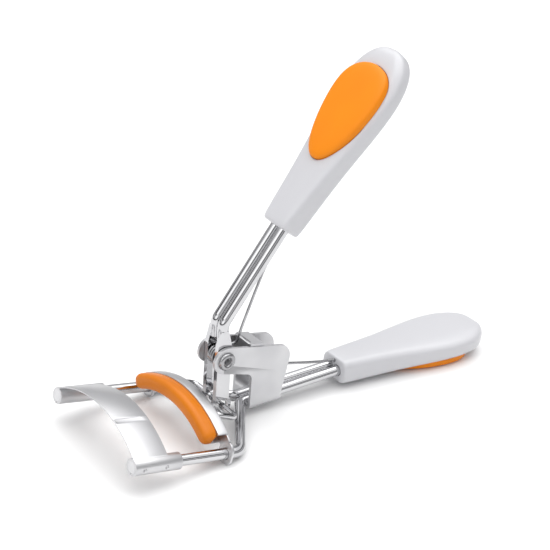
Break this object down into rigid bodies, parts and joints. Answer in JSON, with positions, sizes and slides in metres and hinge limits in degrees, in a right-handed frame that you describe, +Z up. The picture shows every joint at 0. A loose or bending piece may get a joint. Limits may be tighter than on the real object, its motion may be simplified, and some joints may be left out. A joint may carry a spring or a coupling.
{
  "type": "eyelash curler",
  "caption": "Hand tool whose scissor handles slide a padded arched jaw along two rails towards a fixed arched jaw, to press and curl eyelashes, with a spring that opens it.",
  "frame": {"origin": "middle of the bounding box on the table", "axes": "+Z up; +X from the jaws along the level lower handle to its tip; Y across the rails, the upper and lower handles standing in the plane y = 0"},
  "size_m": [0.131, 0.0424, 0.0968],
  "materials": {
    "plated_wire": "bright nickel plate over bent round wire",
    "plated_sheet": "bright nickel plate over pressed sheet",
    "rivet_steel": "plated steel, worn at the rolled edge",
    "spring_steel": "drawn spring wire",
    "handle_white": "glossy white moulded plastic",
    "grip_orange": "satin orange soft plastic",
    "pad_orange": "satin orange silicone"
  },
  "bodies": {
    "frame": {"frame_wire_left": "plated_wire", "frame_wire_right": "plated_wire", "fixed_jaw": "plated_sheet", "pivot_bracket": "plated_sheet", "pivot_rivet": "rivet_steel", "pivot_spacer": "rivet_steel", "return_spring": "spring_steel", "lower_handle": "handle_white", "lower_grip": "grip_orange"},
    "lever": {"lever_wire_left": "plated_wire", "lever_wire_right": "plated_wire", "upper_handle": "handle_white", "upper_grip": "grip_orange"},
    "jaw_carriage": {"moving_jaw": "plated_sheet", "lash_pad": "pad_orange"},
    "link": {"link_wire": "plated_wire"}
  },
  "joints": [
    {"name": "lever_pivot", "type": "hinge", "parent": "frame", "child": "lever", "pos_m": [-0.02863, 0, 0.01968], "axis": [0, 1, 0], "range_deg": [0, 52], "stiffness_Nm_per_rad": 0.02, "springref_deg": -34.38, "deforming": ["return_spring"]},
    {"name": "jaw_slide", "type": "slide", "parent": "frame", "child": "jaw_carriage", "axis": [-0.9848, 0, 0.1736], "range_m": [0, 0.0118]},
    {"name": "link_hinge", "type": "hinge", "parent": "jaw_carriage", "child": "link", "pos_m": [-0.03449, 0, 0.00833], "axis": [0, 1, 0], "range_deg": [-18, 0]}
  ],
  "couplings": [
    {"joint": "jaw_slide", "follows": "lever_pivot", "m_per_rad": 0.012891},
    {"joint": "link_hinge", "follows": "lever_pivot", "ratio": -0.3314}
  ]
}
